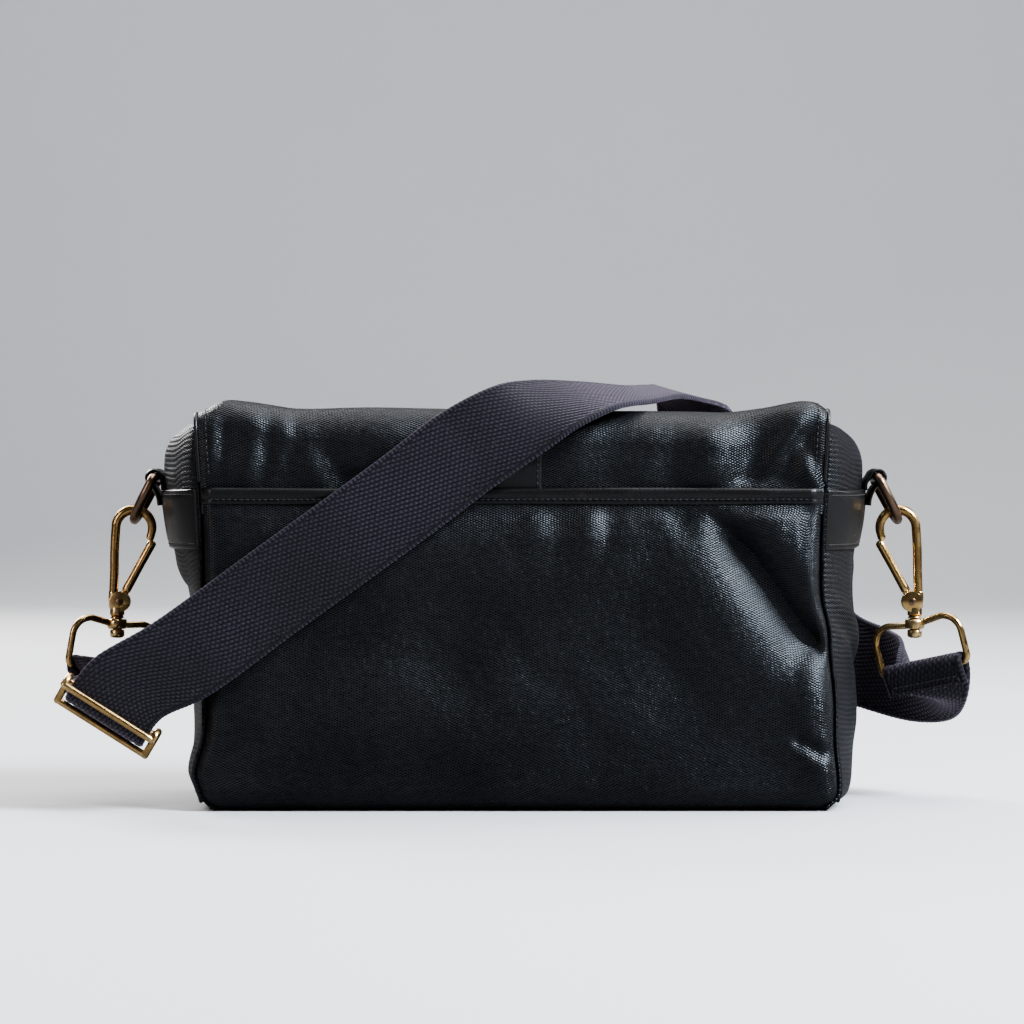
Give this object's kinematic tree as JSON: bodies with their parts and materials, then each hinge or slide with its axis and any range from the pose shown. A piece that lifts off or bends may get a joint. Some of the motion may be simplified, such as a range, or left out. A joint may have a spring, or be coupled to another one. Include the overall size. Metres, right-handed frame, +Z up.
{
  "type": "messenger bag",
  "caption": "Small waxed-canvas messenger bag: rear slip pocket, leather trim, fold-over flap and a clip-on webbing shoulder strap on swivel snap hooks.",
  "frame": {"origin": "centre of the base, on the plane the bag stands on", "axes": "+X along the bag's width, -Y out of the rear face with the slip pocket, +Y out of the flap side, +Z up"},
  "size_m": [0.3886, 0.1431, 0.1859],
  "materials": {
    "waxed_canvas": "black waxed cotton canvas with a cool semi-gloss wax sheen and a fine plain weave",
    "gusset_canvas": "black waxed canvas, more matt, with fine horizontal ribs",
    "leather": "very dark brown-black smooth leather, satin, with stitched edges",
    "lining_cloth": "grey woven lining cloth",
    "board": "stiff black base board",
    "webbing": "charcoal and dark violet cotton webbing with a fine twill rib and stitched edges",
    "antique_brass": "antique brass, darker in the recesses and rubbed bright on the edges",
    "dark_bronze": "dark antique bronze, lightly rubbed",
    "steel": "plain nickel-plated steel"
  },
  "bodies": {
    "bag_body": {"rear_panel": "waxed_canvas", "front_panel": "waxed_canvas", "left_gusset": "gusset_canvas", "right_gusset": "gusset_canvas", "left_gusset_band": "leather", "right_gusset_band": "leather", "bottom_panel": "gusset_canvas", "base_board": "board", "lining": "lining_cloth", "rear_pocket": "waxed_canvas", "rear_pocket_binding": "leather", "rear_strip": "leather", "snap_base": "steel", "left_ring_tab": "leather", "right_ring_tab": "leather"},
    "flap_roof": {"flap_top": "waxed_canvas", "flap_top_strip": "leather"},
    "flap_drop": {"flap_front": "waxed_canvas", "flap_front_strip": "leather", "snap_cap": "steel"},
    "strap": {"strap_webbing": "webbing", "left_bail": "antique_brass", "right_bail": "antique_brass"},
    "slider": {"strap_slider": "antique_brass"},
    "left_dee": {"left_ring": "dark_bronze"},
    "left_clip": {"left_hook": "antique_brass", "left_gate_rivet": "antique_brass", "left_gate_spring": "steel"},
    "left_keeper": {"left_gate": "antique_brass"},
    "right_dee": {"right_ring": "dark_bronze"},
    "right_clip": {"right_hook": "antique_brass", "right_gate_rivet": "antique_brass", "right_gate_spring": "steel"},
    "right_keeper": {"right_gate": "antique_brass"}
  },
  "joints": [
    {"name": "strap_lift", "type": "slide", "parent": "bag_body", "child": "strap", "axis": [0, 0, 1], "range_m": [0, 0.43], "deforming": ["strap_webbing"]},
    {"name": "flap_open", "type": "hinge", "parent": "bag_body", "child": "flap_roof", "pos_m": [0, -0.056, 0.1655], "axis": [1, 0, 0], "range_deg": [0, 172]},
    {"name": "flap_unfold", "type": "hinge", "parent": "flap_roof", "child": "flap_drop", "pos_m": [0, 0.06, 0.1655], "axis": [1, 0, 0], "range_deg": [0, 140]},
    {"name": "slider_adjust", "type": "slide", "parent": "strap", "child": "slider", "axis": [0.8102, 0, 0.5862], "range_m": [0, 0.012]},
    {"name": "left_ring_swing", "type": "hinge", "parent": "bag_body", "child": "left_dee", "pos_m": [-0.155, 0, 0.139], "axis": [0, -1, 0], "range_deg": [-1, 7]},
    {"name": "left_hook_swivel", "type": "hinge", "parent": "strap", "child": "left_clip", "pos_m": [-0.1718, 0, 0.0759], "axis": [0, 0, 1], "range_deg": [-10, 10]},
    {"name": "left_gate_press", "type": "hinge", "parent": "left_clip", "child": "left_keeper", "pos_m": [-0.1706, 0, 0.0855], "axis": [0, -1, 0], "range_deg": [0, 18], "deforming": ["left_gate_spring"]},
    {"name": "right_ring_swing", "type": "hinge", "parent": "bag_body", "child": "right_dee", "pos_m": [0.155, 0, 0.139], "axis": [0, 1, 0], "range_deg": [-1, 7]},
    {"name": "right_hook_swivel", "type": "hinge", "parent": "strap", "child": "right_clip", "pos_m": [0.1718, 0, 0.0759], "axis": [0, 0, 1], "range_deg": [-10, 10]},
    {"name": "right_gate_press", "type": "hinge", "parent": "right_clip", "child": "right_keeper", "pos_m": [0.1706, 0, 0.0855], "axis": [0, 1, 0], "range_deg": [0, 18], "deforming": ["right_gate_spring"]}
  ],
  "couplings": [
    {"joint": "flap_open", "follows": "strap_lift", "rad_per_m": 6.98},
    {"joint": "flap_unfold", "follows": "strap_lift", "rad_per_m": 5.68}
  ]
}
